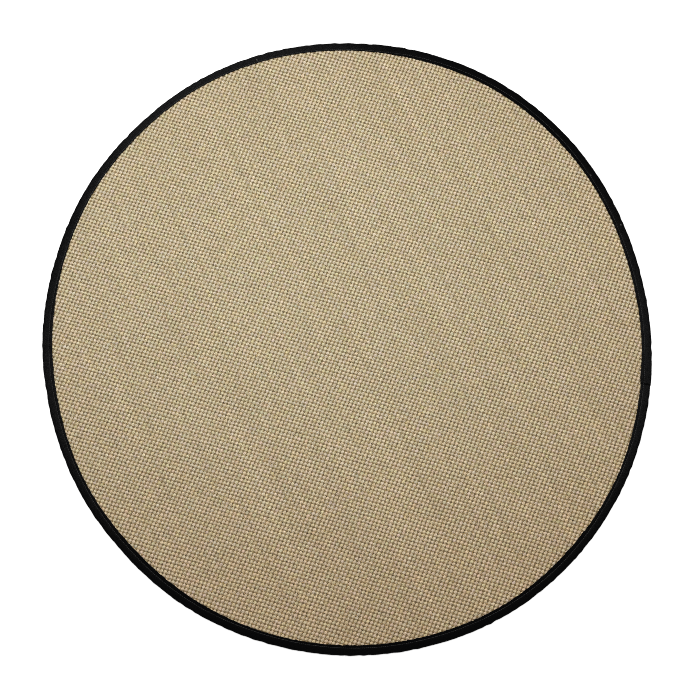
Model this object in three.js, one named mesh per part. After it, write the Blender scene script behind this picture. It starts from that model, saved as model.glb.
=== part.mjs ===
// Round bordered rug, lying flat: a woven sisal field, and one cotton tape folded over its cut edge
// and lapped over its own start. Millimetres, +Z up, origin under the middle on the resting face.
import * as THREE from 'three';

// Driving dimensions
const RUG_ACROSS = 1500; // mean width of the round outline
const RUG_THICK = 8; // woven field, and the bound edge that is pressed to the same height
const TAPE_THICK = 1;
const TAPE_CUT = 50; // cut width of the tape, shared by the top flap, the edge and the under flap
const EDGE_CORNER = 3.5; // outer radius of the fold, above and below
const SEAT_GAP = 0.3; // between layers that lie on each other
const PINCH = 3; // how far inside the tape the field rises back to its full thickness

// The tape's end lies over its start here
const LAP = { start: 348, end: 352, rise: 0.5, proud: 1.5 };

const STEP = 2; // degrees between sections round the rug
const CORNER_STEPS = 3; // faces in each rounded corner of the fold

// The outline is not a true circle, and the tape is not sewn on evenly.
// at: degrees round the rug from +X; edge: how far the edge stands outside the mean circle;
// tape: how wide the tape shows on top.
const UNEVEN = [
  { at: 0, edge: -7.0, tape: 24.5 },
  { at: 15, edge: -9.5, tape: 24.3 },
  { at: 30, edge: -4.5, tape: 24.1 },
  { at: 45, edge: 1.8, tape: 25.5 },
  { at: 60, edge: 6.4, tape: 25.0 },
  { at: 75, edge: 6.0, tape: 24.5 },
  { at: 90, edge: 4.6, tape: 20.8 },
  { at: 105, edge: 6.3, tape: 20.1 },
  { at: 120, edge: 5.2, tape: 19.5 },
  { at: 135, edge: 0.2, tape: 20.5 },
  { at: 150, edge: -1.8, tape: 21.8 },
  { at: 165, edge: -6.5, tape: 22.8 },
  { at: 180, edge: -7.9, tape: 25.0 },
  { at: 195, edge: -11.0, tape: 24.3 },
  { at: 210, edge: -9.8, tape: 23.8 },
  { at: 225, edge: -9.0, tape: 25.2 },
  { at: 240, edge: -3.5, tape: 25.2 },
  { at: 255, edge: 0.4, tape: 23.6 },
  { at: 270, edge: 4.8, tape: 24.2 },
  { at: 285, edge: 8.6, tape: 24.4 },
  { at: 300, edge: 11.8, tape: 24.4 },
  { at: 315, edge: 9.7, tape: 25.8 },
  { at: 330, edge: 5.3, tape: 24.0 },
  { at: 345, edge: -1.2, tape: 24.4 },
];

const turned = (angle) => ((angle % 360) + 360) % 360;
const inLap = (angle) => turned(angle) >= LAP.start && turned(angle) <= LAP.end;

// A column of the table at any angle, smooth round the whole rug
function around(column, angle) {
  const spacing = 360 / UNEVEN.length;
  const place = turned(angle) / spacing;
  const row = Math.floor(place);
  const t = place - row;
  const value = (k) => UNEVEN[(row + k + UNEVEN.length) % UNEVEN.length][column];
  const bend = 2 * value(0) - 2 * value(1) + (value(1) - value(-1) + value(2) - value(0)) / 2;
  const start = (value(1) - value(-1)) / 2;
  const curve = value(1) - value(0) - start - bend;
  return value(0) + t * (start + t * (curve + t * bend));
}

const edgeAt = (angle) => RUG_ACROSS / 2 + around('edge', angle);
const topAt = (angle) => RUG_THICK + (inLap(angle) ? LAP.rise : 0);
const flapAt = (angle, isLapped) => around('tape', angle) + (isLapped ? LAP.proud : 0);

// The under flap is what the top flap and the fold leave of the cut width
function underFlapAt(angle) {
  const fold = Math.PI * EDGE_CORNER + RUG_THICK - 2 * EDGE_CORNER;
  return TAPE_CUT - fold - flapAt(angle, false) + 2 * EDGE_CORNER;
}

// The fold at an angle, from under flap to top flap, drawn a given depth inside its outer face
function foldLine(angle, depth, isLapped) {
  const edge = edgeAt(angle);
  const top = topAt(angle);
  const radius = EDGE_CORNER - depth;
  const line = [[edge - underFlapAt(angle), depth]];
  for (const [height, from] of [[EDGE_CORNER, -90], [top - EDGE_CORNER, 0]]) {
    for (let k = 0; k <= CORNER_STEPS; k++) {
      const turn = THREE.MathUtils.degToRad(from + (90 * k) / CORNER_STEPS);
      line.push([edge - EDGE_CORNER + radius * Math.cos(turn), height + radius * Math.sin(turn)]);
    }
  }
  line.push([edge - flapAt(angle, isLapped), top - depth]);
  return line;
}

// The middle of the outline's box, which goes over the origin
function outlineMiddle() {
  const box = new THREE.Box2();
  for (let angle = 0; angle < 360; angle += STEP) {
    const turn = THREE.MathUtils.degToRad(angle);
    box.expandByPoint(new THREE.Vector2(Math.cos(turn), Math.sin(turn)).multiplyScalar(edgeAt(angle)));
  }
  return box.getCenter(new THREE.Vector2());
}

const MIDDLE = outlineMiddle();

function inPlace([radius, height], angle) {
  const turn = THREE.MathUtils.degToRad(angle);
  return [radius * Math.cos(turn) - MIDDLE.x, radius * Math.sin(turn) - MIDDLE.y, height];
}

// A closed body from its points and the three points of each face
function solid(points, faces) {
  const geometry = new THREE.BufferGeometry();
  geometry.setAttribute('position', new THREE.Float32BufferAttribute(points.flat(), 3));
  geometry.setIndex(faces.flat());
  geometry.computeVertexNormals();
  return geometry;
}

// The tape: one strip carried once round the rug and on over its own start
function tapeGeometry() {
  const points = [];
  const faces = [];
  const lapSteps = (LAP.end - LAP.start) / STEP;
  const last = 360 / STEP + lapSteps;
  for (let k = 0; k <= last; k++) {
    const angle = LAP.start + k * STEP;
    const isUnder = k <= lapSteps;
    const isOver = k >= last - lapSteps;
    const depth = isUnder ? TAPE_THICK + SEAT_GAP : 0;
    const outside = foldLine(angle, depth, isOver);
    const inside = foldLine(angle, depth + TAPE_THICK, isOver).reverse();
    for (const point of [...outside, ...inside]) points.push(inPlace(point, angle));
  }
  const size = points.length / (last + 1);
  for (let k = 0; k < last; k++) {
    for (let j = 0; j < size; j++) {
      const here = k * size;
      const next = here + size;
      const up = (j + 1) % size;
      faces.push([here + j, next + j, next + up], [here + j, next + up, here + up]);
    }
  }
  const end = last * size;
  for (let j = 0; j < size / 2 - 1; j++) {
    const back = size - 1 - j;
    faces.push([j, j + 1, back - 1], [j, back - 1, back]);
    faces.push([end + j, end + back - 1, end + j + 1], [end + j, end + back, end + back - 1]);
  }
  return solid(points, faces);
}

// The field's section at an angle, from the middle of its underside out to its rim and back over
// the top. Its edge is pinched thinner where one or two layers of tape lie round it.
function fieldLine(angle) {
  const layers = inLap(angle) ? 2 : 1;
  const rim = foldLine(angle, layers * (TAPE_THICK + SEAT_GAP), inLap(angle));
  const [underStart] = rim;
  const topEnd = rim[rim.length - 1];
  underStart[0] -= SEAT_GAP;
  topEnd[0] -= SEAT_GAP;
  return [[underStart[0] - PINCH, 0], ...rim, [topEnd[0] - PINCH, RUG_THICK]];
}

// The field: one woven disc, cut to the uneven outline
function fieldGeometry() {
  const points = [];
  const faces = [];
  const sections = 360 / STEP;
  for (let k = 0; k < sections; k++) {
    for (const point of fieldLine(k * STEP)) points.push(inPlace(point, k * STEP));
  }
  const size = points.length / sections;
  const under = points.length;
  const over = under + 1;
  points.push([-MIDDLE.x, -MIDDLE.y, 0], [-MIDDLE.x, -MIDDLE.y, RUG_THICK]);
  for (let k = 0; k < sections; k++) {
    const here = k * size;
    const next = ((k + 1) % sections) * size;
    faces.push([under, next, here], [over, here + size - 1, next + size - 1]);
    for (let j = 0; j < size - 1; j++) {
      faces.push([here + j, next + j, next + j + 1], [here + j, next + j + 1, here + j + 1]);
    }
  }
  return solid(points, faces);
}

function piece(name, geometry, material) {
  const mesh = new THREE.Mesh(geometry, material);
  mesh.name = name;
  return mesh;
}

const sisal = new THREE.MeshStandardMaterial({ color: 0xb09f80, roughness: 0.95, metalness: 0 });
const cotton = new THREE.MeshStandardMaterial({ color: 0x171717, roughness: 0.9, metalness: 0 });

const rug = new THREE.Group();
rug.add(piece('sisal_field', fieldGeometry(), sisal));
rug.add(piece('binding_tape', tapeGeometry(), cotton));

export default rug;
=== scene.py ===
"""Round bordered sisal rug: every yarn of its weave, its folded tape and sewing, and a plain stage."""
import math

import bmesh
import bpy
import numpy as np
from bpy.props import FloatProperty, FloatVectorProperty, IntProperty, PointerProperty, StringProperty
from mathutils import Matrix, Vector


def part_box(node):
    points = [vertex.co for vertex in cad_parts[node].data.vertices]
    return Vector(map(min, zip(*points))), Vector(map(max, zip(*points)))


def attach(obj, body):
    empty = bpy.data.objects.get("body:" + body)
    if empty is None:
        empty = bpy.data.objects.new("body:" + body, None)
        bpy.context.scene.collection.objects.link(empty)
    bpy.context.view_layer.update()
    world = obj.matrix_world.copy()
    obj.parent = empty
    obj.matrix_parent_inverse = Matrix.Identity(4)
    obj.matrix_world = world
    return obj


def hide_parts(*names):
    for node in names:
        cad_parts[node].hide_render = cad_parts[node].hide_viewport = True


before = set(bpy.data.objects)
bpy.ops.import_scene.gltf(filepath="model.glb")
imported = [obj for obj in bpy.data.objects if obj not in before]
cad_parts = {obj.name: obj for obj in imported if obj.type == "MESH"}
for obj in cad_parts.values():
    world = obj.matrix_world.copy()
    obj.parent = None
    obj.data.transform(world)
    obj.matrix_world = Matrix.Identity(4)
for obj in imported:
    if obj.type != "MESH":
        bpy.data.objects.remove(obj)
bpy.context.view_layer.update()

bl_info = {
    "name": "Bordered sisal rug",
    "version": (1, 0, 0),
    "blender": (4, 5, 0),
    "location": "View3D > Sidebar > Rug",
    "description": "Weaves a round sisal rug yarn by yarn and binds its edge with cotton tape",
    "category": "Add Mesh",
}

MM = 0.001
BAKE_MAP = "OFBake"
# The solids have one section every so many degrees round the rug
SECTION_ANGLE = 2.0
# The most triangles that one piece of yarns may have
TRIANGLES_EACH = 180_000


def linear(code):
    """An sRGB hex colour as the linear colour that a shader works in."""
    levels = [int(code[k : k + 2], 16) / 255 for k in (1, 3, 5)]
    return [c / 12.92 if c <= 0.04045 else ((c + 0.055) / 1.055) ** 2.4 for c in levels] + [1.0]


def length(name, description, default):
    """A size in metres, shown in the scene's own unit."""
    return FloatProperty(name=name, description=description, default=default, unit="LENGTH", precision=5)


def bearing(name, description, degrees):
    """An angle, given in degrees and kept in radians."""
    return FloatProperty(name=name, description=description, default=math.radians(degrees), subtype="ANGLE")


def colour(name, description, default):
    """A colour, kept as an sRGB hex code."""
    return StringProperty(name=name, description=description, default=default)


# Settings


class RugWeaveSettings(bpy.types.PropertyGroup):
    """Sizes of the sisal cloth"""

    weft_pitch: length("Weft pitch", "From one thick weft yarn to the next", 6.66 * MM)
    warp_pitch: length("Warp pitch", "From one thin warp yarn to the next", 6.0 * MM)
    weft_bearing: bearing("Weft bearing", "Which way the weft runs, from +X", 116.1)
    warp_bearing: bearing("Warp bearing", "Which way the warp runs, from +X", 24.7)
    weft_thick: length("Weft thickness", "Height of the weft yarn's oval section", 3.9 * MM)
    warp_thick: length("Warp thickness", "Height of the warp yarn's oval section", 2.6 * MM)
    weft_rise: length("Weft rise", "How far the weft climbs and dives", 4.2 * MM)
    warp_rise: length("Warp rise", "How far the warp climbs and dives", 2.5 * MM)
    warp_sunk: length("Warp sunk", "How far the highest warp lies under the highest weft", 1.2 * MM)
    skew: length("Skew", "How far the twist slants each float to the side", 0.15 * MM)
    wander: length("Wander", "How far the yarns stray from their straight lines", 0.9 * MM)
    bow: FloatVectorProperty(
        name="Bow", description="How far the cloth is pulled out of square, a metre from its middle",
        size=2, default=(12.8 * MM, -10.4 * MM), unit="LENGTH",
    )
    tuck: length("Tuck", "How far the yarns run on under the tape", 4.0 * MM)
    ground: length("Ground", "Height of the cloth's closed body, under its yarns", 3.0 * MM)
    stray_fibres: IntProperty(name="Stray fibres", description="Fibre ends that stand off", default=3500)
    seed: IntProperty(name="Seed", description="Which unevenness the yarns get", default=11)


class RugTapeSettings(bpy.types.PropertyGroup):
    """Sizes of the cotton tape and its sewing"""

    cut_width: length("Cut width", "Width of the tape before it is folded", 50 * MM)
    thick: length("Thickness", "Thickness of the cotton tape", 1.0 * MM)
    corner: length("Corner", "Radius of the fold, above and below", 3.5 * MM)
    lap_start: bearing("Lap start", "Where round the rug the tape's upper end lies", 350.6)
    lap_end: bearing("Lap end", "How far the other end runs on under it", 354.6)
    lap_askew: length("Lap askew", "How far the two ends lie out of line", 1.7 * MM)
    seam_inset: length("Seam inset", "From the sewing to the nearer flap's edge", 3.0 * MM)
    seam_depth: length("Seam depth", "How far the sewing pulls the tape in", 0.15 * MM)
    stitch: length("Stitch", "Length of one stitch", 5.0 * MM)
    thread: length("Thread", "Width of the sewing thread", 0.7 * MM)
    pucker: length("Pucker", "Height of the gathers at the inner edge", 0.25 * MM)
    scallop: length("Scallop", "How far the bumps of the weave move the inner edge", 0.42 * MM)
    unevenness: length("Unevenness", "How far the fold strays from a smooth line", 0.55 * MM)


class RugStageSettings(bpy.types.PropertyGroup):
    """The camera, the lights and the floor"""

    lens: FloatProperty(name="Lens", description="Focal length", default=50.0, unit="CAMERA")
    elevation: bearing("Elevation", "How steeply the camera looks down", 82.0)
    distance: length("Distance", "From the camera to the point it looks at", 2.3692)
    aim: FloatVectorProperty(
        name="Aim", description="The point it looks at", size=3, default=(0.0079, -0.0344, 0.0035),
        subtype="XYZ", unit="LENGTH",
    )
    key_power: FloatProperty(name="Key", description="Power of the long light", default=47.0, unit="POWER")
    back_power: FloatProperty(name="Back", description="Power of the back light", default=24.0, unit="POWER")
    fill_low: FloatProperty(name="Low fill", description="Light from the walls", default=0.72)
    fill_high: FloatProperty(name="High fill", description="Light from the ceiling", default=0.2)
    glow: FloatProperty(name="Glow", description="The light table's own light", default=0.7)
    floor_size: length("Floor size", "Side of the square floor", 14.0)


class RugColourSettings(bpy.types.PropertyGroup):
    """Colours of the fibres, the cotton and the floor"""

    weft_dark: colour("Weft, dark", "The brownest fibres of the thick yarn", "#958468")
    weft_mid: colour("Weft, middle", "Most fibres of the thick yarn", "#B6A88B")
    weft_pale: colour("Weft, pale", "Its palest, straw coloured fibres", "#CFC2A9")
    # The thin yarn's colours are darker than its fibres: partly dust, partly painted shade for the shadow
    # down in the hollows where it shows
    warp_dark: colour("Warp, dark", "The brownest fibres of the thin yarn", "#4E4026")
    warp_mid: colour("Warp, middle", "Most fibres of the thin yarn", "#746241")
    warp_pale: colour("Warp, pale", "Its palest fibres", "#93805B")
    hollow_dust_and_shade: colour("Hollow", "What dust and shade leave of the colour down between yarns", "#9A8862")
    cotton: colour("Cotton", "The black dyed tape", "#020202")
    cotton_worn: colour("Worn cotton", "Raised threads of the tape", "#080809")
    thread: colour("Thread", "The sewing thread", "#060607")
    lint: colour("Lint", "Grey cotton fibres", "#5F5C5A")
    lint_pale: colour("Lint, pale", "Their palest stretches", "#8A8784")
    floor: colour("Floor", "The plain pale floor", "#A8A8A7")
    floor_pale: colour("Floor, pale", "Its palest patches", "#B2B2B1")


# Meshes


def new_piece(name, points, faces, smooth=True):
    """A mesh object from arrays of points and four-cornered or three-cornered faces."""
    mesh = bpy.data.meshes.new(name)
    faces = np.asarray(faces, np.int32)
    corners = faces.shape[1]
    mesh.vertices.add(len(points))
    mesh.vertices.foreach_set("co", np.asarray(points, np.float32).ravel())
    mesh.loops.add(faces.size)
    mesh.loops.foreach_set("vertex_index", faces.ravel())
    mesh.polygons.add(len(faces))
    mesh.polygons.foreach_set("loop_start", np.arange(0, faces.size, corners, dtype=np.int32))
    mesh.polygons.foreach_set("loop_total", np.full(len(faces), corners, np.int32))
    mesh.polygons.foreach_set("use_smooth", np.full(len(faces), smooth))
    mesh.update(calc_edges=True)
    mesh.validate()
    made = bpy.data.objects.new(name, mesh)
    bpy.context.scene.collection.objects.link(made)
    return made


def points_of(mesh):
    """The points of a mesh as an array."""
    points = np.zeros(len(mesh.vertices) * 3)
    mesh.vertices.foreach_get("co", points)
    return points.reshape(-1, 3)


def keep_values(piece, name, values):
    """Stores a number, or three, for each point of a piece, for its material to read."""
    values = np.asarray(values, np.float32)
    is_vector = values.ndim == 2
    kept = piece.data.attributes.new(name, "FLOAT_VECTOR" if is_vector else "FLOAT", "POINT")
    kept.data.foreach_set("vector" if is_vector else "value", values.ravel())


def keep_map(piece, places, margin=0.002):
    """Stores a flat map of the piece's points, spread over the unit square but for a narrow margin."""
    low = places.min(axis=0)
    spread = (places - low) / (places.max(axis=0) - low)
    corners = np.zeros(len(piece.data.loops), np.int32)
    piece.data.loops.foreach_get("vertex_index", corners)
    layer = piece.data.uv_layers.new(name=BAKE_MAP)
    layer.data.foreach_set("uv", (margin + (1 - 2 * margin) * spread[corners]).astype(np.float32).ravel())


def grid_faces(rows, columns, closed=False, start=0):
    """Four-cornered faces of a sheet of points laid out in rows, closed across the columns if asked."""
    column = np.arange(columns if closed else columns - 1)[None, :]
    row_start = start + np.arange(rows - 1)[:, None] * columns
    here = row_start + column
    right = row_start + (column + 1) % columns
    return np.stack([here, right, right + columns, here + columns], axis=-1).reshape(-1, 4)


def slow_noise(points, rng, shortest, longest, waves):
    """A smooth uneven value, about -1 to 1, at each point of the floor's plane."""
    total = np.zeros(len(points))
    for _ in range(waves):
        angle, phase = rng.uniform(0, 2 * math.pi, 2)
        wave = rng.uniform(shortest, longest)
        along = points[:, 0] * math.cos(angle) + points[:, 1] * math.sin(angle)
        total += np.sin(2 * math.pi * along / wave + phase)
    return total / math.sqrt(waves)


def heading(angle):
    """The flat unit vector at an angle in radians, or one for each of a row of angles."""
    return np.stack([np.cos(angle), np.sin(angle)], axis=-1)


def smoothstep(low, high, value):
    """Rises smoothly from 0 at low to 1 at high."""
    share = np.clip((value - low) / (high - low), 0, 1)
    return share * share * (3 - 2 * share)


# The rug's outline, read from the solids


class Outline:
    """How far the rug's edge and the tape's two inner edges lie from the middle, at any angle."""

    def __init__(self):
        points = points_of(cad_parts["binding_tape"].data)
        angle = np.degrees(np.arctan2(points[:, 1], points[:, 0])) % 360
        radius = np.hypot(points[:, 0], points[:, 1])
        section = np.round(angle / SECTION_ANGLE).astype(int) % int(360 / SECTION_ANGLE)
        self.cloth_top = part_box("sisal_field")[1].z
        upper = points[:, 2] > self.cloth_top / 2
        sections = range(int(360 / SECTION_ANGLE))
        self.edge = np.array([radius[section == k].max() for k in sections])
        self.tape_over = np.array([radius[(section == k) & upper].min() for k in sections])
        self.tape_under = np.array([radius[(section == k) & ~upper].min() for k in sections])

    def at(self, values, angle):
        """One of the three distances at angles in degrees, smooth round the rug."""
        place = (np.asarray(angle, float) % 360) / SECTION_ANGLE
        row = np.floor(place).astype(int)
        t = place - row
        before, here, there, after = (values[(row + k) % len(values)] for k in (-1, 0, 1, 2))
        rise = (there - before) / 2
        bend = 2 * here - 2 * there + rise + (after - here) / 2
        return here + t * (rise + t * (there - here - rise - bend + t * bend))

    def inside(self, points, values):
        """How far points lie inside one of the three distances, in metres."""
        angle = np.degrees(np.arctan2(points[:, 1], points[:, 0]))
        return self.at(values, angle) - np.hypot(points[:, 0], points[:, 1])


OUTLINE = Outline()


# Yarns

# The shortest and longest waves in which the yarns stray from their lines, and their number
WANDER_WAVES = (120 * MM, 420 * MM, 9)


class Weave:
    """Where the yarns of the plain weave cross: i counts warp yarns along a weft, j counts wefts."""

    def __init__(self, settings):
        weft, warp = heading(settings.weft_bearing), heading(settings.warp_bearing)
        slant = abs(weft[0] * warp[1] - weft[1] * warp[0])
        self.settings = settings
        self.weft, self.warp = weft, warp
        self.step_i = weft * settings.warp_pitch / slant
        self.step_j = warp * settings.weft_pitch / slant
        self.rng = np.random.default_rng(settings.seed)
        self.wander_seed = settings.seed + 1

    def place(self, i, j):
        """The point of the plane at a crossing, or between crossings, with the cloth's slow wander."""
        flat = np.outer(i, self.step_i) + np.outer(j, self.step_j)
        flat = flat + np.outer(flat[:, 0] ** 2, self.settings.bow)
        rng = np.random.default_rng(self.wander_seed)
        stray = [slow_noise(flat, rng, *WANDER_WAVES) for _ in range(2)]
        return flat + self.settings.wander * np.stack(stray, axis=1)


# One yarn over and under its neighbour. For each point of a float: where it lies, in pitches from the
# float's top; how high, from 1 at the top to -1 at the bottom; how wide the yarn is there; and which
# way its twist slants it
WEFT_FLOAT = (
    (-0.31, 1.0, 1.0, -1.0),
    (0.31, 1.0, 1.0, 1.0),
    (0.75, -0.9, 0.72, 0.5),
    (1.25, -0.9, 0.72, -0.5),
)
WARP_FLOAT = ((0.0, 1.0, 1.0, 0.0), (1.0, -1.0, 0.85, 0.0))
# A yarn's section from side to side: where its points lie in half widths, and how high in half
# thicknesses. The sides tuck down, and the buried underside is left open.
WEFT_SECTION = ((-1.0, -0.15), (-0.38, 0.95), (0.38, 0.95), (1.0, -0.15))
WARP_SECTION = ((-1.0, -0.3), (-0.5, 0.9), (0.5, 0.9), (1.0, -0.3))
# Half a yarn's width in pitches, how far its tone drifts along it, and how strongly the painted light and
# shade of its tufts show
WEFT_LOOK = {"half_width": 0.585, "drift": 0.043, "painted_tuft_shading": 0.75, "material": "sisal_weft_boucle"}
WARP_LOOK = {"half_width": 0.5, "drift": 0.02, "painted_tuft_shading": 1.8, "material": "sisal_warp_twine"}
# How much one float differs from the next: in pitches, where it lies along the yarn and to its side,
# and of one, its girth, its height, its tone, and how red or straw yellow it is
UNEVEN = {
    "shift": 0.038, "sway": 0.03, "plump": 0.03, "loose": 0.07, "tone": 0.02, "ruddy": 0.014, "straw": 0.05,
}
# A yarn's tone drifts from one tie to the next, this many floats on
DRIFT_FLOATS = 18
# The tape presses the yarns down by this share, more and more over the last few millimetres
PRESSED = 0.13
PRESSED_REACH = 3.5 * MM
# Numbers that set each yarn's noise apart from its neighbours'
NOISE_STEP, NOISE_ROUND = 7.3, 97.0


class YarnKind:
    """One of the cloth's two yarn systems, with all that tells it from the other."""

    def __init__(self, weave, is_weft):
        settings = weave.settings
        self.look = WEFT_LOOK if is_weft else WARP_LOOK
        self.weave, self.is_weft = weave, is_weft
        self.float_points = np.array(WEFT_FLOAT if is_weft else WARP_FLOAT)
        self.section = np.array(WEFT_SECTION if is_weft else WARP_SECTION)
        self.side = weave.warp if is_weft else weave.weft
        self.pitch = settings.weft_pitch if is_weft else settings.warp_pitch
        self.float_pitch = settings.warp_pitch if is_weft else settings.weft_pitch
        self.half_width = self.pitch * self.look["half_width"]
        self.half_thick = (settings.weft_thick if is_weft else settings.warp_thick) / 2
        self.rise = (settings.weft_rise if is_weft else settings.warp_rise) / 2
        sunk = 0 if is_weft else settings.warp_sunk
        self.top = OUTLINE.cloth_top - sunk - self.half_thick - self.rise
        # The weft is up where i + j is even, and the warp where it is odd
        self.parity = 0 if is_weft else 1


def tied_noise(rng, count, every):
    """A value for each of count floats that drifts from one to the next, tied every few floats."""
    ties = rng.normal(0, 1, count // every + 3)
    return np.interp(np.arange(count) / every + rng.uniform(0, 1), np.arange(len(ties)), ties)


def one_yarn(kind, number, reach, rng):
    """Points, values and lattice places of one yarn, or None where it lies outside the rug."""
    weave = kind.weave
    floats = np.arange(-reach, reach + 1)
    floats = floats[(floats + number) % 2 == kind.parity]
    each = len(kind.float_points)
    at, lift, width, skew = (np.tile(values, len(floats)) for values in kind.float_points.T)
    along = np.repeat(floats + rng.normal(0, UNEVEN["shift"], len(floats)), each) + at
    across = np.full(len(along), float(number))
    i, j = (along, across) if kind.is_weft else (across, along)
    place = weave.place(i, j)
    kept = OUTLINE.inside(place, OUTLINE.tape_over) > -weave.settings.tuck
    if kept.sum() < 3:
        return None
    first, last = np.flatnonzero(kept)[[0, -1]]
    kept = slice(first, last + 1)

    def uneven(name):
        """An uneven amount for each float, the same at all its points."""
        return UNEVEN[name] * np.repeat(rng.normal(0, 1, len(floats)), each)

    lift = lift * (1 + uneven("loose"))
    plump = 1 + uneven("plump")
    drift = kind.look["drift"] * np.repeat(tied_noise(rng, len(floats), DRIFT_FLOATS), each)
    tone = 1 + uneven("tone") + drift
    ruddy = uneven("ruddy")
    straw = uneven("straw")
    tint = tone[:, None] * np.stack([1 + ruddy, 1 - ruddy, 1 - straw], axis=1)
    sway = skew * weave.settings.skew + kind.pitch * uneven("sway")

    place = (place + sway[:, None] * kind.side)[kept]
    centre = (kind.top + kind.rise * lift)[kept]
    half_width = (kind.half_width * width * plump)[kept]
    half_thick = (kind.half_thick * (0.75 + 0.25 * width) * plump)[kept]
    aside = kind.section[:, 0] * half_width[:, None]
    ground = place[:, None, :] + aside[..., None] * kind.side
    height = centre[:, None] + kind.section[:, 1] * half_thick[:, None]
    inside = OUTLINE.inside(ground.reshape(-1, 2), OUTLINE.tape_over).reshape(height.shape)
    height = height * (1 - PRESSED * (1 - smoothstep(0, PRESSED_REACH, inside)))
    points = np.concatenate([ground, height[..., None]], axis=-1)

    run = np.broadcast_to((along * kind.float_pitch)[kept][:, None], height.shape)
    girth = np.cumsum(np.hypot(*np.diff(kind.section, axis=0, prepend=kind.section[:1]).T))
    round_it = np.broadcast_to(girth * kind.half_width, height.shape)
    apart = np.full(height.shape, number * NOISE_STEP % NOISE_ROUND)
    across_map = np.broadcast_to(number + kind.section[:, 0] / 2, height.shape)
    return {
        "points": points.reshape(-1, 3),
        "place": np.stack([run, round_it, apart], axis=-1).reshape(-1, 3),
        "tint": np.repeat(tint[kept], len(kind.section), axis=0),
        "map": np.stack([run, across_map], axis=-1).reshape(-1, 2),
        "rows": height.shape[0],
    }


def yarn_pieces(kind, name):
    """All the yarns of one kind, joined into as few pieces as the triangle limit lets."""
    reach = int(OUTLINE.edge.max() / min(kind.float_pitch, kind.pitch)) + 4
    rng = kind.weave.rng
    columns = len(kind.section)
    batches, batch, count = [], [], 0
    for number in range(-reach, reach + 1):
        yarn = one_yarn(kind, number, reach, rng)
        if yarn is None:
            continue
        triangles = (yarn["rows"] - 1) * (columns - 1) * 2
        if count + triangles > TRIANGLES_EACH:
            batches.append(batch)
            batch, count = [], 0
        batch.append(yarn)
        count += triangles
    batches.append(batch)

    made = []
    for k, batch in enumerate(batches):
        starts = np.cumsum([0] + [y["rows"] * columns for y in batch])
        faces = np.concatenate([grid_faces(y["rows"], columns, start=s) for y, s in zip(batch, starts)])
        if not kind.is_weft:
            faces = faces[:, ::-1]
        points = np.concatenate([y["points"] for y in batch])
        piece = new_piece(f"{name}_{k + 1}", points, faces)
        keep_values(piece, "yarn_place", np.concatenate([y["place"] for y in batch]))
        keep_values(piece, "yarn_tint", np.concatenate([y["tint"] for y in batch]))
        keep_values(piece, "yarn_depth", (OUTLINE.cloth_top - points[:, 2]) / OUTLINE.cloth_top)
        keep_map(piece, np.concatenate([y["map"] for y in batch]))
        made.append(piece)
    return made


# Materials


def add(tree, kind, links=None, **settings):
    """Adds a node. settings are its own, and links gives its sockets a value or another's output."""
    made = tree.nodes.new(kind)
    for name, value in settings.items():
        setattr(made, name, value)
    connect(tree, made, links or {})
    return made


def connect(tree, node, links):
    """Gives a node's sockets a value or another node's output."""
    for socket, value in links.items():
        if isinstance(value, bpy.types.NodeSocket):
            tree.links.new(value, node.inputs[socket])
        else:
            node.inputs[socket].default_value = value


def new_material(name):
    """An empty material, its node tree and its shader."""
    made = bpy.data.materials.new(name)
    made.use_nodes = True
    tree = made.node_tree
    tree.nodes.clear()
    shader = add(tree, "ShaderNodeBsdfPrincipled")
    add(tree, "ShaderNodeOutputMaterial", {"Surface": shader.outputs[0]})
    return made, tree, shader


def ramp(tree, value, *stops):
    """A colour ramp of (position, hex code) stops."""
    made = add(tree, "ShaderNodeValToRGB", {0: value})
    band = made.color_ramp
    while len(band.elements) < len(stops):
        band.elements.new(0.5)
    for element, (position, code) in zip(band.elements, stops):
        element.position = position
        element.color = linear(code)
    return made.outputs[0]


def maths(tree, operation, *values):
    """The result of a sum of numbers and outputs."""
    return add(tree, "ShaderNodeMath", dict(enumerate(values)), operation=operation).outputs[0]


def vectors(tree, operation, *values):
    """The result of a sum of vectors: an output, and of a dot product a number."""
    made = add(tree, "ShaderNodeVectorMath", dict(enumerate(values)), operation=operation)
    return made.outputs["Value" if operation == "DOT_PRODUCT" else "Vector"]


def multiply(tree, *colours):
    """The product of two or more colours."""
    product, *others = colours
    for other in others:
        links = {"Factor": 1.0, "A": product, "B": other}
        made = add(tree, "ShaderNodeMix", links, data_type="RGBA", blend_type="MULTIPLY")
        product = made.outputs["Result"]
    return product


# Fibres lie round the yarn at its twist, this much round it for each length along it
TWIST = 0.67
# How long and how wide fibres and strands are, and how far apart the plies and their edges lie
FIBRE = (12 * MM, 0.45 * MM)
STRAND = (6 * MM, 3 * MM)
PLY = 5.8 * MM
PLY_EDGE = 2.2 * MM
# Tufts of fibre: their size, and where each one's two painted shadows lie from it
TUFT_SIZE = 2.6 * MM
TUFT_SHADOW_OFFSETS = ((2.8 * MM, -0.4 * MM, 0.0), (1.4 * MM, 2.4 * MM, 0.0))
# Batches of leaf: how large they are, and how far red, green and blue stray between them, of one
BATCH_SIZE = 18 * MM
BATCH_TINT = (0.13, 0.0, 0.23)
# Dust and painted shade darken the hollows: the dark sets in at this share of the cloth's depth, and is full
# at that
DUST_AND_SHADE_DEPTHS = (0.4, 0.85)
# Painted light: the cloth is painted coolest about one place, and warmer and darker at a distance in x and y,
# as the light falls off
PAINTED_LIGHT_CENTRE = (-0.15, 0.25, 0.0)
PAINTED_FALLOFF_DISTANCE = (1.25, 0.9, 1.0)
PAINTED_LIT_TINT = "#FAFDFF"
PAINTED_FALLOFF_TINT = "#F8F1ED"


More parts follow.
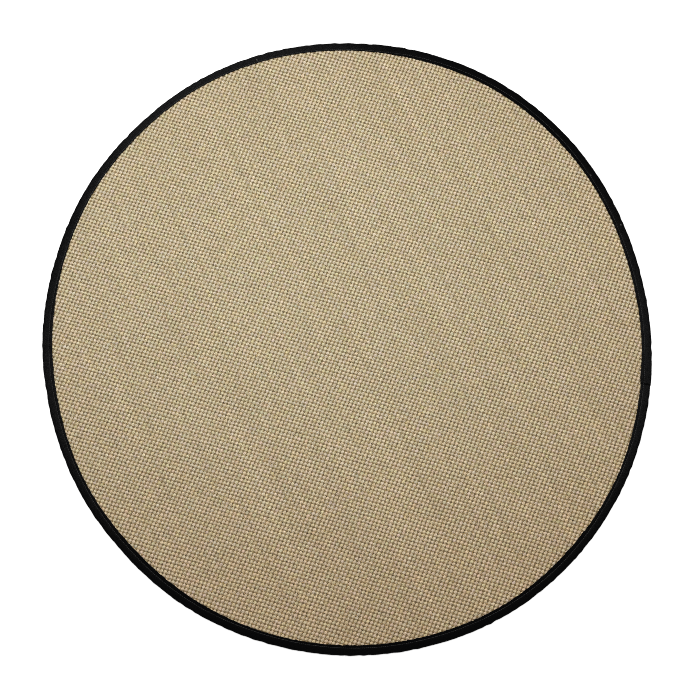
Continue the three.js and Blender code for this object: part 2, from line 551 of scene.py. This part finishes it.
def sisal_yarn(name, stops, hollow_dust_and_shade, painted_relief_strength):
    """Twisted sisal: hard leaf fibres, matt and hairy, that show as fine streaks along the yarn."""
    made, tree, shader = new_material(name)
    place = add(tree, "ShaderNodeAttribute", attribute_name="yarn_place").outputs["Vector"]
    tint = add(tree, "ShaderNodeAttribute", attribute_name="yarn_tint").outputs["Color"]
    depth = add(tree, "ShaderNodeAttribute", attribute_name="yarn_depth").outputs["Fac"]
    there = add(tree, "ShaderNodeTexCoord").outputs["Object"]
    run, girth, number = add(tree, "ShaderNodeSeparateXYZ", {0: place}).outputs
    twisted = maths(tree, "MULTIPLY_ADD", run, TWIST, girth)

    def streaks(size, detail, roughness):
        """Noise drawn out along the twist, from streaks of a length and a width."""
        along, across = (maths(tree, "MULTIPLY", v, 1 / s) for v, s in zip((run, twisted), size))
        spot = add(tree, "ShaderNodeCombineXYZ", {0: along, 1: across, 2: number}).outputs[0]
        links = {"Vector": spot, "Scale": 1.0, "Detail": detail, "Roughness": roughness}
        return add(tree, "ShaderNodeTexNoise", links).outputs[0]

    def blotches(spot, size, detail):
        """Noise in the cloth, in blotches of a size."""
        return add(tree, "ShaderNodeTexNoise", {"Vector": spot, "Scale": 1 / size, "Detail": detail}).outputs

    fibres = streaks(FIBRE, 3.0, 0.6)
    # Whole strands of the yarn differ in colour over a few millimetres
    strands = streaks(STRAND, 0.0, 0.5)
    level = maths(tree, "MULTIPLY_ADD", fibres, 0.75, maths(tree, "MULTIPLY", strands, 0.25))
    base = ramp(tree, level, *zip((0.3, 0.5, 0.7), stops))
    # Its plies are uneven in tone, one after the other round the yarn
    turn = maths(tree, "MULTIPLY", twisted, 2 * math.pi / PLY)
    turn = maths(tree, "MULTIPLY_ADD", strands, 6.0, turn)
    plies = maths(tree, "MULTIPLY_ADD", maths(tree, "COSINE", turn), 0.08, 1.0)
    # Painted light and shade: tufts of pale fibre are painted with painted shadows beside them, a few
    # millimetres away, as if lit from one side
    tuft = blotches(there, TUFT_SIZE, 0.0)[0]
    painted_shadows = [blotches(vectors(tree, "ADD", there, away), TUFT_SIZE, 0.0)[0] for away in TUFT_SHADOW_OFFSETS]
    painted_relief = maths(tree, "MULTIPLY_ADD", maths(tree, "ADD", *painted_shadows), -0.5, tuft)
    mottle = maths(tree, "MULTIPLY_ADD", painted_relief, painted_relief_strength, plies)
    # Batches of leaf differ: some redder, some yellower, over two or three floats
    batches = blotches(there, BATCH_SIZE, 1.0)["Color"]
    batch_tint = vectors(tree, "MULTIPLY_ADD", batches, BATCH_TINT, [1 - t / 2 for t in BATCH_TINT])
    batch_tint = vectors(tree, "MULTIPLY", batch_tint, mottle)
    # Dust and painted shade: the deeper a point lies in the cloth, the darker it is painted
    low = add(tree, "ShaderNodeMapRange", {0: depth, 1: DUST_AND_SHADE_DEPTHS[0], 2: DUST_AND_SHADE_DEPTHS[1]})
    shade = ramp(tree, low.outputs[0], (0.0, "#FFFFFF"), (1.0, hollow_dust_and_shade))
    # Painted light: coolest about one place, warmer and darker at a distance
    from_light_centre = vectors(tree, "DIVIDE", vectors(tree, "SUBTRACT", there, PAINTED_LIGHT_CENTRE), PAINTED_FALLOFF_DISTANCE)
    painted_light_tint = ramp(tree, vectors(tree, "DOT_PRODUCT", from_light_centre, from_light_centre), (0.0, PAINTED_LIT_TINT), (1.0, PAINTED_FALLOFF_TINT))
    ply_edges = maths(tree, "PINGPONG", maths(tree, "MULTIPLY", twisted, 1 / PLY_EDGE), 0.5)
    relief = maths(tree, "MULTIPLY_ADD", ply_edges, 0.9, fibres)
    bump = add(tree, "ShaderNodeBump", {"Height": relief, "Strength": 0.5, "Distance": 0.45 * MM})
    connect(tree, shader, {
        "Base Color": multiply(tree, base, batch_tint, shade, tint, painted_light_tint), "Normal": bump.outputs[0],
        "Roughness": 0.82, "IOR": 1.5, "Specular IOR Level": 0.3,
    })
    return made


# The cloth's back has grain and patches of these sizes
BACK_GRAIN = 1.11 * MM
BACK_PATCHES = 7.14 * MM


def sisal_back(colours, settings):
    """The cloth's closed body: the same plain weave, pressed flat where it lies on the floor."""
    made, tree, shader = new_material("sisal_weave_back")
    place = add(tree, "ShaderNodeTexCoord").outputs["Object"]

    def ridges(angle, pitch):
        """A smooth row of ridges, two pitches from one to the next, that run at an angle."""
        axis = (-math.sin(angle) / pitch, math.cos(angle) / pitch, 0.0)
        across = vectors(tree, "DOT_PRODUCT", place, axis)
        return maths(tree, "COSINE", maths(tree, "MULTIPLY", across, math.pi))

    weft = ridges(settings.weft_bearing, settings.weft_pitch)
    warp = ridges(settings.warp_bearing, settings.warp_pitch)
    checks = maths(tree, "MULTIPLY_ADD", maths(tree, "MULTIPLY", weft, warp), 0.5, 0.5)
    links = {"Vector": place, "Scale": 1 / BACK_GRAIN, "Detail": 3.0}
    grain = add(tree, "ShaderNodeTexNoise", links).outputs[0]
    links = {"Vector": place, "Scale": 1 / BACK_PATCHES, "Detail": 2.0}
    patches = add(tree, "ShaderNodeTexNoise", links).outputs[0]
    level = maths(tree, "MULTIPLY_ADD", checks, 0.55, maths(tree, "MULTIPLY", grain, 0.35))
    level = maths(tree, "MULTIPLY_ADD", patches, 0.2, level)
    # Its darkest stop is the thin yarn's dark colour, which holds some painted shade
    base = ramp(tree, level, (0.15, colours.warp_dark), (0.5, colours.weft_dark), (0.95, colours.weft_mid))
    relief = maths(tree, "MULTIPLY_ADD", grain, 0.3, checks)
    bump = add(tree, "ShaderNodeBump", {"Height": relief, "Strength": 1.0, "Distance": 1.2 * MM})
    connect(tree, shader, {
        "Base Color": base, "Normal": bump.outputs[0], "Roughness": 0.9, "Specular IOR Level": 0.2,
    })
    return made


# The threads of the tape are drawn a little coarser than those of the real canvas, so that they show
CANVAS_PITCH = 0.9 * MM
# Its slubs, where a thread is thicker and worn paler
SLUB = 2.63 * MM


def cotton_canvas(colours):
    """Black cotton tape: a close canvas weave, matt, with a dusting of paler raised threads."""
    made, tree, shader = new_material("cotton_canvas_black")
    place = add(tree, "ShaderNodeAttribute", attribute_name="tape_place").outputs["Vector"]
    run, girth, _ = add(tree, "ShaderNodeSeparateXYZ", {0: place}).outputs
    along = maths(tree, "COSINE", maths(tree, "MULTIPLY", run, math.pi / CANVAS_PITCH))
    across = maths(tree, "COSINE", maths(tree, "MULTIPLY", girth, math.pi / CANVAS_PITCH))
    checks = maths(tree, "MULTIPLY_ADD", maths(tree, "MULTIPLY", along, across), 0.5, 0.5)
    links = {"Vector": place, "Scale": 1 / SLUB, "Detail": 4.0, "Roughness": 0.65}
    slubs = add(tree, "ShaderNodeTexNoise", links).outputs[0]
    level = maths(tree, "MULTIPLY_ADD", checks, 0.25, maths(tree, "MULTIPLY", slubs, 0.9))
    relief = maths(tree, "MULTIPLY_ADD", slubs, 0.6, checks)
    bump = add(tree, "ShaderNodeBump", {"Height": relief, "Strength": 0.4, "Distance": 0.25 * MM})
    connect(tree, shader, {
        "Base Color": ramp(tree, level, (0.42, colours.cotton), (0.82, colours.cotton_worn)),
        "Normal": bump.outputs[0], "Roughness": 0.28, "Specular IOR Level": 0.03,
    })
    return made


def mottled(name, size, stops, sockets):
    """A material whose colour strays between a few stops, in patches of a size."""
    made, tree, shader = new_material(name)
    place = add(tree, "ShaderNodeTexCoord").outputs["Object"]
    mottle = add(tree, "ShaderNodeTexNoise", {"Vector": place, "Scale": 1 / size, "Detail": 2.0})
    connect(tree, shader, {"Base Color": ramp(tree, mottle.outputs[0], *stops), **sockets})
    return made


def sewing_thread(colours):
    """Black polyester thread: smoother than the cotton round it, so it catches a little light."""
    stops = ((0.3, colours.thread), (0.8, colours.cotton_worn))
    return mottled("polyester_thread_black", 0.4 * MM, stops, {"Roughness": 0.5})


def loose_sisal(colours):
    """Single sisal fibres: as the yarns, but smooth and a little shiny along their length."""
    stops = ((0.3, colours.weft_dark), (0.5, colours.weft_mid), (0.7, colours.weft_pale))
    return mottled("sisal_single_fibres", 16.7 * MM, stops, {"Roughness": 0.55})


def cotton_lint(colours):
    """A few greyish cotton fibres, thin enough to look dusty on the black."""
    stops = ((0.3, colours.lint), (0.7, colours.lint_pale))
    return mottled("cotton_lint_grey", 1.11 * MM, stops, {"Roughness": 0.9})


def table_top(colours, glow):
    """Frosted white acrylic, lit from below: a light table, whose glow leaves no shadow round the rug."""
    stops = ((0.0, colours.floor), (1.0, colours.floor_pale))
    sockets = {"Roughness": 0.8, "Emission Color": (1.0, 1.0, 1.0, 1.0), "Emission Strength": glow}
    return mottled("frosted_acrylic_lit", 333 * MM, stops, sockets)


def finish_piece(piece, material):
    """Gives a piece its material, and tells the frame its body."""
    piece.data.materials.append(material)
    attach(piece, "root")


# Operators

# The ground lies low as far as this under the tape, so that the yarns stand clear of it
LOW_GROUND = 3.0 * MM


class RUG_OT_ground(bpy.types.Operator):
    """Make the closed body of the cloth, which shows from below and lies dark between the yarns"""

    bl_idname = "rug.ground"
    bl_label = "Cloth ground"

    def execute(self, context):
        settings = context.scene.rug_weave
        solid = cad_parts["sisal_field"].data
        points = points_of(solid)
        faces = np.zeros(len(solid.loops), np.int32)
        solid.loops.foreach_get("vertex_index", faces)
        if len(faces) != 3 * len(solid.polygons):
            raise RuntimeError("the cloth's solid is not made of triangles")
        upper = points[:, 2] > OUTLINE.cloth_top / 2
        points[upper & (OUTLINE.inside(points, OUTLINE.tape_over) > -LOW_GROUND), 2] = settings.ground
        piece = new_piece("sisal_ground", points, faces.reshape(-1, 3), smooth=False)
        finish_piece(piece, sisal_back(context.scene.rug_colours, settings))
        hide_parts("sisal_field")
        return {"FINISHED"}


def lay_yarns(context, is_weft):
    """Makes all the yarns of one kind, and gives them their material."""
    colours = context.scene.rug_colours
    kind = YarnKind(Weave(context.scene.rug_weave), is_weft)
    name = "weft" if is_weft else "warp"
    stops = [getattr(colours, f"{name}_{shade}") for shade in ("dark", "mid", "pale")]
    material = sisal_yarn(kind.look["material"], stops, colours.hollow_dust_and_shade, kind.look["painted_tuft_shading"])
    for piece in yarn_pieces(kind, f"{name}_yarns"):
        finish_piece(piece, material)
    return {"FINISHED"}


class RUG_OT_weft(bpy.types.Operator):
    """Lay the thick weft yarns, whose floats are the pale bumps of the weave"""

    bl_idname = "rug.weft"
    bl_label = "Weft yarns"

    def execute(self, context):
        return lay_yarns(context, True)


class RUG_OT_warp(bpy.types.Operator):
    """Lay the thin warp yarns, which show dark in the hollows between the weft floats"""

    bl_idname = "rug.warp"
    bl_label = "Warp yarns"

    def execute(self, context):
        return lay_yarns(context, False)


# The tape has a section every so many degrees, and each fold this many steps
TAPE_STEP = 0.36
FOLD_STEPS = 6
# How far the sewing's dent reaches to either side, where it is steepest, and how wide it is
DENT = 1.5 * MM
DENT_SIDE = 0.7 * MM
DENT_WIDTH = 1.0 * MM
# The row of points next to a flap's edge, and how far in the small gathers die away
EDGE_ROW = 0.5 * MM
GATHER_REACH = 6.0 * MM
# Shortest and longest waves of the gathers, of the scallops and of the uneven fold, and their number
GATHER_WAVES = (11 * MM, 34 * MM, 24)
SCALLOP_WAVES = (10 * MM, 24 * MM, 24)
FOLD_WAVES = (14 * MM, 40 * MM, 24)
# Between the two layers of the lap
LAP_GAP = 0.02 * MM


class Tape:
    """The folded tape's edges and sewing at a row of angles, counted on from its start in degrees."""

    def __init__(self, context, angle):
        settings = context.scene.rug_tape
        rng = np.random.default_rng(context.scene.rug_weave.seed + 5)
        self.settings, self.top = settings, OUTLINE.cloth_top
        edge = OUTLINE.at(OUTLINE.edge, angle)
        self.out = heading(np.radians(angle))
        on_edge = self.out * edge.mean()
        self.gather = settings.pucker * slow_noise(on_edge, rng, *GATHER_WAVES)
        scallop = settings.scallop * slow_noise(on_edge, rng, *SCALLOP_WAVES)
        self.edge = edge + settings.unevenness * slow_noise(on_edge, rng, *FOLD_WAVES)
        self.under = self.edge - OUTLINE.at(OUTLINE.tape_under, angle)
        # The start of the tape lies on its end, which is pressed in, and the two aren't quite in line
        past = angle - math.degrees(settings.lap_start)
        lap = math.degrees(settings.lap_end - settings.lap_start)
        covered = smoothstep(360 - SECTION_ANGLE, 360, past)
        covering = 1 - smoothstep(lap, lap + SECTION_ANGLE, past)
        self.proud = settings.thick / 2 * covering
        self.raised = settings.thick / 2 * covered
        self.sunk = (settings.thick / 2 + LAP_GAP) * covered
        wide = covering * smoothstep(0, SECTION_ANGLE, past)
        narrow = smoothstep(360 - 2 * SECTION_ANGLE, 360 - SECTION_ANGLE, past)
        askew = settings.lap_askew * (wide - narrow)
        self.over = self.edge - OUTLINE.at(OUTLINE.tape_over, angle) + scallop + askew
        # The sewing goes where it catches both flaps
        self.seam = np.minimum(self.over, self.under) - settings.seam_inset

    def flap(self, reach, inset, gather):
        """Distances from the rug's edge, and heights inside the flap's face, from inner edge to fold."""
        near, far = self.seam + DENT, self.seam - DENT
        last = self.settings.corner - far
        away = [reach, reach - EDGE_ROW, (reach - EDGE_ROW + near) / 2, near, self.seam + DENT_SIDE]
        away += [self.seam, self.seam - DENT_SIDE, far, far + last / 3, far + last * 2 / 3]
        rows = []
        for d in away:
            dent = self.settings.seam_depth * np.exp(-(((d - self.seam) / DENT_WIDTH) ** 2))
            rows.append((self.edge - d, inset + dent - gather * np.exp((d - reach) / GATHER_REACH)))
        return rows

    def face(self, inset):
        """The tape's face, or a layer at a depth inside it, from the top flap's edge to the under flap's."""
        corner = self.settings.corner
        top = self.top + self.proud
        rows = [(r, top - z) for r, z in self.flap(self.over, inset, self.gather)]
        for k in range(2 * FOLD_STEPS + 1):
            bend = math.radians(90 - 90 * k / FOLD_STEPS)
            middle = top - corner if k <= FOLD_STEPS else corner + self.raised
            radius = corner - inset + self.proud * math.cos(bend)
            rows.append((self.edge - corner + radius * math.cos(bend), middle + radius * math.sin(bend)))
            if k == FOLD_STEPS:
                rows.append((self.edge - corner + radius, corner + self.raised))
        rows += [(r, z + self.raised) for r, z in self.flap(self.under, inset, 0.0)[::-1]]
        return rows


class RUG_OT_tape(bpy.types.Operator):
    """Fold the cotton tape over the rug's edge, with one end lapped over the other"""

    bl_idname = "rug.tape"
    bl_label = "Edge tape"

    def execute(self, context):
        settings = context.scene.rug_tape
        start = math.degrees(settings.lap_start)
        turn = 360 + math.degrees(settings.lap_end) - start
        angle = start + np.linspace(0, turn, int(turn / TAPE_STEP) + 1)
        tape = Tape(context, angle)
        # The face inside the fold, which never shows, has a third of the rows
        inner = tape.face(tape.sunk + settings.thick)
        inner = [inner[0]] + inner[::3][1:-1] + [inner[-1]]
        rows = tape.face(tape.sunk) + inner[::-1]
        radius, height = (np.stack(values, axis=1) for values in zip(*rows))
        points = np.concatenate([radius[..., None] * tape.out[:, None, :], height[..., None]], axis=-1)
        faces = grid_faces(len(angle), len(rows), closed=True)[:, ::-1]
        piece = new_piece("edge_tape", points.reshape(-1, 3), faces)
        close_ends(piece, len(rows))
        run = np.radians(angle)[:, None] * tape.edge.mean() + 0 * height
        gone = np.hypot(*(np.diff(v, axis=1, prepend=v[:, :1]) for v in (radius, height)))
        place = np.stack([run, np.cumsum(gone, axis=1), 0 * run], axis=-1)
        keep_values(piece, "tape_place", place.reshape(-1, 3))
        finish_piece(piece, cotton_canvas(context.scene.rug_colours))
        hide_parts("binding_tape")
        return {"FINISHED"}


def close_ends(piece, columns):
    """Closes the two open ends of a tube of points laid out in rows."""
    mesh = bmesh.new()
    mesh.from_mesh(piece.data)
    mesh.verts.ensure_lookup_table()
    count = len(mesh.verts)
    mesh.faces.new([mesh.verts[k] for k in range(columns)])
    mesh.faces.new([mesh.verts[k] for k in range(count - 1, count - 1 - columns, -1)])
    mesh.to_mesh(piece.data)
    mesh.free()


def little_tubes(name, centres, sides, lifts, closed):
    """Many short round strips: centres, and half a width to the side and up, at each of their points."""
    count, rows, _ = centres.shape
    if closed:
        ring = ((1.0, -0.5), (-1.0, -0.5), (0.0, 1.0))
    else:
        ring = ((-1.0, -0.6), (-0.5, 0.8), (0.5, 0.8), (1.0, -0.6))
    points = np.stack([centres + a * sides + b * lifts for a, b in ring], axis=2)
    one = grid_faces(rows, len(ring), closed=closed)
    faces = (one + (np.arange(count) * rows * len(ring))[:, None, None]).reshape(-1, 4)
    return new_piece(name, points.reshape(-1, 3), faces)


# A stitch's points: how far along it, in stitches, and how high, in half threads
STITCH_POINTS = ((-0.46, -1.0), (-0.3, 0.4), (0.0, 0.6), (0.3, 0.4), (0.46, -1.0))
# How far the thread is drawn into the tape, and how flat it is pressed
THREAD_SUNK = 0.05 * MM
THREAD_FLAT = 0.6


class RUG_OT_sewing(bpy.types.Operator):
    """Sew the tape on with lockstitches that show on both faces"""

    bl_idname = "rug.sewing"
    bl_label = "Sewing"

    def execute(self, context):
        settings = context.scene.rug_tape
        mean = OUTLINE.edge.mean()
        count = int(2 * math.pi * mean / settings.stitch)
        reach, rise = np.array(STITCH_POINTS).T
        middle = math.degrees(settings.lap_start) + (np.arange(count) + 0.5) * 360 / count
        angle = middle[:, None] + np.degrees(reach * settings.stitch / mean)
        tape = Tape(context, angle.ravel())
        radius = (tape.edge - tape.seam).reshape(angle.shape)
        out = tape.out.reshape(*angle.shape, 2)
        sides = np.concatenate([out, np.zeros((*angle.shape, 1))], axis=-1) * settings.thread / 2
        over = tape.top + tape.proud - tape.sunk - settings.seam_depth
        under = tape.raised + tape.sunk + settings.seam_depth
        for name, up, face in (("sewing_over", 1.0, over), ("sewing_under", -1.0, under)):
            height = face.reshape(angle.shape) + up * (rise * settings.thread / 2 - THREAD_SUNK)
            centres = np.concatenate([out * radius[..., None], height[..., None]], axis=-1)
            lifts = np.zeros_like(centres)
            lifts[..., 2] = up * settings.thread / 2 * THREAD_FLAT
            piece = little_tubes(name, centres, sides * up, lifts, closed=False)
            finish_piece(piece, sewing_thread(context.scene.rug_colours))
        return {"FINISHED"}


# A loose fibre's points: how far along it, how high of its full height, and how thick of its foot
FIBRE_POINTS = ((0.0, -0.3, 1.0), (0.3, 0.8, 0.9), (0.7, 1.0, 0.7), (1.0, 0.5, 0.3))
# How far it bows to one side, of its length
FIBRE_BOW = 0.22
# Shortest and longest, lowest and highest, and how thick the fibres are
STRAY = {"length": (5 * MM, 13 * MM), "height": (0.4 * MM, 1.3 * MM), "thick": 0.2 * MM}
FLECK = {"length": (1.5 * MM, 3.5 * MM), "height": (0.1 * MM, 0.4 * MM), "thick": 0.25 * MM}
# The feet of the stray fibres keep this far from the tape, and lie this deep
STRAY_MARGIN = 12 * MM
STRAY_SUNK = 0.5 * MM
# Flecks of lint that the photograph shows on the tape: where, in degrees, and how far in from the edge
LINT = ((33.7, 15.6 * MM), (22.3, 8.5 * MM), (107.9, 11.6 * MM))
# Fibres in a fleck, how far they spread, and how far they lie above the tape
FIBRES_IN_FLECK = 7
FLECK_SPREAD = 0.5 * MM
FLECK_LIFT = 0.1 * MM


def loose_fibres(name, kind, feet, bearings, base, rng):
    """Single curved fibres that stand off a surface at feet, and come down again."""
    lengths = rng.uniform(*kind["length"], len(feet))
    rises = rng.uniform(*kind["height"], len(feet))
    share, rise, taper = np.array(FIBRE_POINTS).T
    ahead = heading(bearings)
    across = np.stack([-ahead[:, 1], ahead[:, 0]], axis=1)
    along = share * lengths[:, None]
    # Some bow to one side and some to the other
    bow = FIBRE_BOW * lengths * np.sign(np.sin(9 * bearings))
    aside = np.sin(math.pi * share) * bow[:, None]
    flat = feet[:, None, :] + along[..., None] * ahead[:, None, :] + aside[..., None] * across[:, None, :]
    height = base + rises[:, None] * rise
    centres = np.concatenate([flat, height[..., None]], axis=-1)
    sides, lifts = np.zeros_like(centres), np.zeros_like(centres)
    sides[..., :2] = across[:, None, :] * (kind["thick"] / 2 * taper)[:, None]
    lifts[..., 2] = kind["thick"] / 2 * taper
    return little_tubes(name, centres, sides, lifts, closed=True)


class RUG_OT_fibres(bpy.types.Operator):
    """Let some sisal fibres stand off the yarns, and lay a few flecks of lint on the tape"""

    bl_idname = "rug.fibres"
    bl_label = "Stray fibres and lint"

    def execute(self, context):
        settings = context.scene.rug_weave
        colours = context.scene.rug_colours
        rng = np.random.default_rng(settings.seed + 9)
        count = settings.stray_fibres
        radius = (OUTLINE.tape_over.min() - STRAY_MARGIN) * np.sqrt(rng.uniform(0, 1, count))
        turn = rng.uniform(0, 2 * math.pi, count)
        feet = radius[:, None] * heading(turn)
        bearings = rng.uniform(0, 2 * math.pi, count)
        piece = loose_fibres("stray_fibres", STRAY, feet, bearings, OUTLINE.cloth_top - STRAY_SUNK, rng)
        finish_piece(piece, loose_sisal(colours))

        feet, bearings = [], []
        for angle, inset in LINT:
            middle = heading(math.radians(angle)) * (OUTLINE.at(OUTLINE.edge, angle) - inset)
            for _ in range(FIBRES_IN_FLECK):
                feet.append(middle + rng.normal(0, FLECK_SPREAD, 2))
                bearings.append(rng.uniform(0, 2 * math.pi))
        base = OUTLINE.cloth_top + FLECK_LIFT
        piece = loose_fibres("lint", FLECK, np.array(feet), np.array(bearings), base, rng)
        finish_piece(piece, cotton_lint(colours))
        return {"FINISHED"}


# The lamps: a long soft light over the rug, and a small one above and behind it, in metres
LAMPS = {
    "key": {"shape": "RECTANGLE", "size": (2.5, 0.4), "at": (0.0, 0.22, 2.0), "aim": (0.0, 0.3, 0.0)},
    "back": {"shape": "DISK", "size": (0.7, 0.7), "at": (-0.72, 1.6, 2.2), "aim": (-0.1, 0.2, 0.0)},
}
# The floor lies a hair below the rug, so that the two faces don't flicker
FLOOR_DROP = 0.2 * MM
# Width of the camera's sensor, in millimetres
SENSOR = 36.0
# From this share of straight up, the walls' light passes into the ceiling's
CEILING_START = 0.2


def place_pointing(thing, at, towards):
    """Puts a camera or a lamp at a place, turned towards another."""
    made = bpy.data.objects.new(thing.name, thing)
    made.location = at
    made.rotation_mode = "QUATERNION"
    made.rotation_quaternion = (Vector(towards) - Vector(at)).to_track_quat("-Z", "Y")
    bpy.context.scene.collection.objects.link(made)
    return made


class RUG_OT_stage(bpy.types.Operator):
    """Set the camera above the rug, the soft light, and the pale floor"""

    bl_idname = "rug.stage"
    bl_label = "Stage"

    def execute(self, context):
        scene = context.scene
        settings = scene.rug_stage
        aim = Vector(settings.aim)
        back = Vector((0, -math.cos(settings.elevation), math.sin(settings.elevation)))
        lens = bpy.data.cameras.new("camera")
        lens.lens = settings.lens
        lens.sensor_width = SENSOR
        scene.camera = place_pointing(lens, aim + back * settings.distance, aim)

        half = settings.floor_size / 2
        corners = [(x * half, y * half, -FLOOR_DROP) for x, y in ((-1, -1), (1, -1), (1, 1), (-1, 1))]
        floor = new_piece("floor", corners, [(0, 1, 2, 3)], smooth=False)
        floor.data.materials.append(table_top(scene.rug_colours, settings.glow))

        for name, kind in LAMPS.items():
            lamp = bpy.data.lights.new(f"{name}_softbox", "AREA")
            lamp.shape = kind["shape"]
            lamp.size, lamp.size_y = kind["size"]
            lamp.energy = getattr(settings, f"{name}_power")
            place_pointing(lamp, kind["at"], kind["aim"])

        world = bpy.data.worlds.new("pale_walls_dim_ceiling")
        world.use_nodes = True
        tree = world.node_tree
        direction = add(tree, "ShaderNodeTexCoord").outputs["Generated"]
        upward = add(tree, "ShaderNodeSeparateXYZ", {0: direction}).outputs["Z"]
        links = {0: upward, 1: CEILING_START, 2: 1.0, 3: settings.fill_low, 4: settings.fill_high}
        level = add(tree, "ShaderNodeMapRange", links).outputs[0]
        connect(tree, tree.nodes["Background"], {"Strength": level, "Color": (1.0, 1.0, 1.0, 1.0)})
        scene.world = world
        scene.view_settings.view_transform = "Standard"
        scene.view_settings.look = "None"
        # The photograph is sharp down to the pixel, and a denoiser would smear the single fibres
        scene.cycles.filter_width = 0.95
        scene.cycles.use_denoising = False
        return {"FINISHED"}


class RUG_PT_panel(bpy.types.Panel):
    """Lists the rug's parts in the order in which they are made"""

    bl_label = "Bordered sisal rug"
    bl_idname = "RUG_PT_panel"
    bl_space_type = "VIEW_3D"
    bl_region_type = "UI"
    bl_category = "Rug"

    def draw(self, context):
        for operator in OPERATORS:
            self.layout.operator(operator.bl_idname)


OPERATORS = (RUG_OT_stage, RUG_OT_weft, RUG_OT_warp, RUG_OT_fibres, RUG_OT_ground, RUG_OT_sewing, RUG_OT_tape)
SETTINGS = {
    "rug_weave": RugWeaveSettings,
    "rug_tape": RugTapeSettings,
    "rug_stage": RugStageSettings,
    "rug_colours": RugColourSettings,
}


def register():
    for made in (*SETTINGS.values(), *OPERATORS, RUG_PT_panel):
        bpy.utils.register_class(made)
    for name, made in SETTINGS.items():
        setattr(bpy.types.Scene, name, PointerProperty(type=made))


def unregister():
    for name in SETTINGS:
        delattr(bpy.types.Scene, name)
    for made in (RUG_PT_panel, *OPERATORS, *SETTINGS.values()):
        bpy.utils.unregister_class(made)


def main():
    register()
    for operator in OPERATORS:
        group, name = operator.bl_idname.split(".")
        getattr(getattr(bpy.ops, group), name)()


if __name__ == "__main__":
    main()
